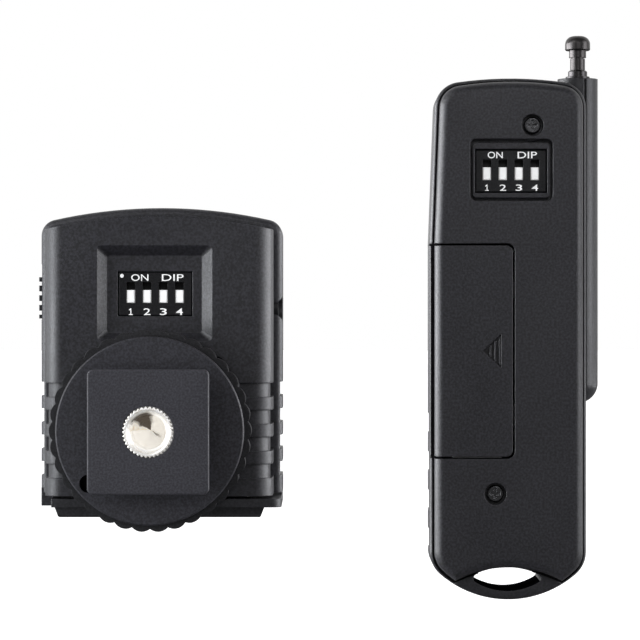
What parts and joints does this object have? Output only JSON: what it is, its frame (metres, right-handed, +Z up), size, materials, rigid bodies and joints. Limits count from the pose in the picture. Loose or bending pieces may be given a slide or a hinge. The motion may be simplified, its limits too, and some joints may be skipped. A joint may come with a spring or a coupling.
{
  "type": "wireless flash trigger",
  "caption": "Radio flash trigger set: shoe-mount receiver with clamp wheel and tripod socket, and hand-held transmitter with telescopic antenna and sliding battery cover.",
  "frame": {"origin": "mouth of the 1/4-20 tripod socket, centre of the receiver foot's outer face", "axes": "+Z up, along the standing units; +Y from the backs towards the fronts; +X from the receiver to the transmitter"},
  "size_m": [0.0898, 0.0329, 0.0907],
  "materials": {
    "case_black": "fine moulded texture",
    "foot_black": "satin moulded",
    "nickel_brass": "bright machined",
    "dark_screw": "black oxide",
    "bright_steel": "bright plated",
    "dip_housing": "semi gloss",
    "dip_white": "satin",
    "board_green": "solder resist",
    "chip_black": "moulded epoxy",
    "copper_wire": "enamelled copper",
    "cell_wrap": "printed sleeve, plain",
    "key_grey": "satin",
    "indicator_red": "clear tinted resin",
    "antenna_chrome": "polished black nickel"
  },
  "bodies": {
    "receiver": {"rx_back_shell": "case_black", "rx_front_shell": "case_black", "rx_door_pin": "bright_steel", "rx_shoe_foot": "foot_black", "rx_thread_insert": "nickel_brass", "rx_stem_plate": "bright_steel", "rx_stem_screws": "dark_screw", "rx_case_screws": "dark_screw", "rx_dip_body": "dip_housing", "rx_pcb": "board_green", "rx_mcu": "chip_black", "rx_rf_module": "board_green", "rx_crystal": "bright_steel", "rx_capacitor": "chip_black", "rx_antenna_coil": "copper_wire", "rx_power_frame": "bright_steel", "rx_sync_jack": "dip_housing", "rx_indicator": "indicator_red", "rx_test_switch": "dip_housing", "rx_cell": "cell_wrap", "rx_cell_spring": "bright_steel", "rx_cell_plate": "bright_steel", "rx_flash_shoe": "bright_steel", "rx_shoe_screws": "dark_screw", "rx_shoe_insulator": "dip_housing"},
    "pressure_plate": {"rx_pressure_plate": "foot_black"},
    "lock_wheel": {"rx_lock_wheel": "foot_black"},
    "receiver_door": {"rx_battery_door": "case_black"},
    "receiver_power_slide": {"rx_power_slide": "foot_black"},
    "receiver_test_key": {"rx_test_key": "key_grey"},
    "shoe_contact": {"rx_shoe_contact": "nickel_brass"},
    "receiver_code_1": {"rx_dip_slider_1": "dip_white"},
    "receiver_code_2": {"rx_dip_slider_2": "dip_white"},
    "receiver_code_3": {"rx_dip_slider_3": "dip_white"},
    "receiver_code_4": {"rx_dip_slider_4": "dip_white"},
    "transmitter": {"tx_front_shell": "case_black", "tx_back_shell": "case_black", "tx_case_screws": "dark_screw", "tx_pcb": "board_green", "tx_encoder": "chip_black", "tx_resonator": "bright_steel", "tx_coil": "copper_wire", "tx_dip_body": "dip_housing", "tx_indicator": "indicator_red", "tx_key_switch": "dip_housing", "tx_cell": "cell_wrap", "tx_cell_spring": "bright_steel", "tx_cell_plate": "bright_steel", "tx_antenna_base": "antenna_chrome"},
    "transmitter_cover": {"tx_battery_cover": "case_black"},
    "release_key": {"tx_release_key": "key_grey"},
    "transmitter_code_1": {"tx_dip_slider_1": "dip_white"},
    "transmitter_code_2": {"tx_dip_slider_2": "dip_white"},
    "transmitter_code_3": {"tx_dip_slider_3": "dip_white"},
    "transmitter_code_4": {"tx_dip_slider_4": "dip_white"},
    "antenna_lower": {"tx_antenna_lower": "antenna_chrome"},
    "antenna_middle": {"tx_antenna_middle": "antenna_chrome"},
    "antenna_tip": {"tx_antenna_tip": "antenna_chrome"}
  },
  "joints": [
    {"name": "antenna_lower_draw", "type": "slide", "parent": "transmitter", "child": "antenna_lower", "axis": [0, 0, 1], "range_m": [0, 0.04]},
    {"name": "antenna_middle_draw", "type": "slide", "parent": "antenna_lower", "child": "antenna_middle", "axis": [0, 0, 1], "range_m": [0, 0.04]},
    {"name": "antenna_tip_draw", "type": "slide", "parent": "antenna_middle", "child": "antenna_tip", "axis": [0, 0, 1], "range_m": [0, 0.04]},
    {"name": "battery_cover_slide", "type": "slide", "parent": "transmitter", "child": "transmitter_cover", "axis": [-1, 0, 0], "range_m": [0, 0.014]},
    {"name": "battery_door_swing", "type": "hinge", "parent": "receiver", "child": "receiver_door", "pos_m": [-0.0172, 0.0252, -0.0116], "axis": [0, 1, 0], "range_deg": [0, 100], "stiffness_Nm_per_rad": 0.02, "springref_deg": -114.59},
    {"name": "clamp_plate_travel", "type": "slide", "parent": "receiver", "child": "pressure_plate", "axis": [0, -1, 0], "range_m": [0, 0.0012]},
    {"name": "clamp_wheel_turn", "type": "hinge", "parent": "pressure_plate", "child": "lock_wheel", "pos_m": [0, 0.0073, 0], "axis": [0, -1, 0], "range_deg": [0, 540]},
    {"name": "handset_apart", "type": "slide", "parent": "receiver", "child": "transmitter", "axis": [1, 0, 0], "range_m": [0, 0.06]},
    {"name": "power_switch", "type": "slide", "parent": "receiver", "child": "receiver_power_slide", "axis": [0, 0, 1], "range_m": [0, 0.0019]},
    {"name": "release_key_press", "type": "slide", "parent": "transmitter", "child": "release_key", "axis": [0, -1, 0], "range_m": [0, 0.0008], "stiffness_N_per_m": 200},
    {"name": "shoe_contact_press", "type": "slide", "parent": "receiver", "child": "shoe_contact", "axis": [0, -1, 0], "range_m": [0, 0.0004], "stiffness_N_per_m": 400},
    {"name": "test_key_press", "type": "slide", "parent": "receiver", "child": "receiver_test_key", "axis": [0, -1, 0], "range_m": [0, 0.0006], "stiffness_N_per_m": 200},
    {"name": "rx_code_switch_1", "type": "slide", "parent": "receiver", "child": "receiver_code_1", "axis": [0, 0, 1], "range_m": [0, 0.0012]},
    {"name": "rx_code_switch_2", "type": "slide", "parent": "receiver", "child": "receiver_code_2", "axis": [0, 0, 1], "range_m": [0, 0.0012]},
    {"name": "rx_code_switch_3", "type": "slide", "parent": "receiver", "child": "receiver_code_3", "axis": [0, 0, 1], "range_m": [0, 0.0012]},
    {"name": "rx_code_switch_4", "type": "slide", "parent": "receiver", "child": "receiver_code_4", "axis": [0, 0, 1], "range_m": [0, 0.0012]},
    {"name": "tx_code_switch_1", "type": "slide", "parent": "transmitter", "child": "transmitter_code_1", "axis": [0, 0, 1], "range_m": [0, 0.0012]},
    {"name": "tx_code_switch_2", "type": "slide", "parent": "transmitter", "child": "transmitter_code_2", "axis": [0, 0, 1], "range_m": [0, 0.0012]},
    {"name": "tx_code_switch_3", "type": "slide", "parent": "transmitter", "child": "transmitter_code_3", "axis": [0, 0, 1], "range_m": [0, 0.0012]},
    {"name": "tx_code_switch_4", "type": "slide", "parent": "transmitter", "child": "transmitter_code_4", "axis": [0, 0, 1], "range_m": [0, 0.0012]}
  ],
  "couplings": [
    {"joint": "clamp_plate_travel", "follows": "clamp_wheel_turn", "m_per_rad": 0.00012731}
  ]
}
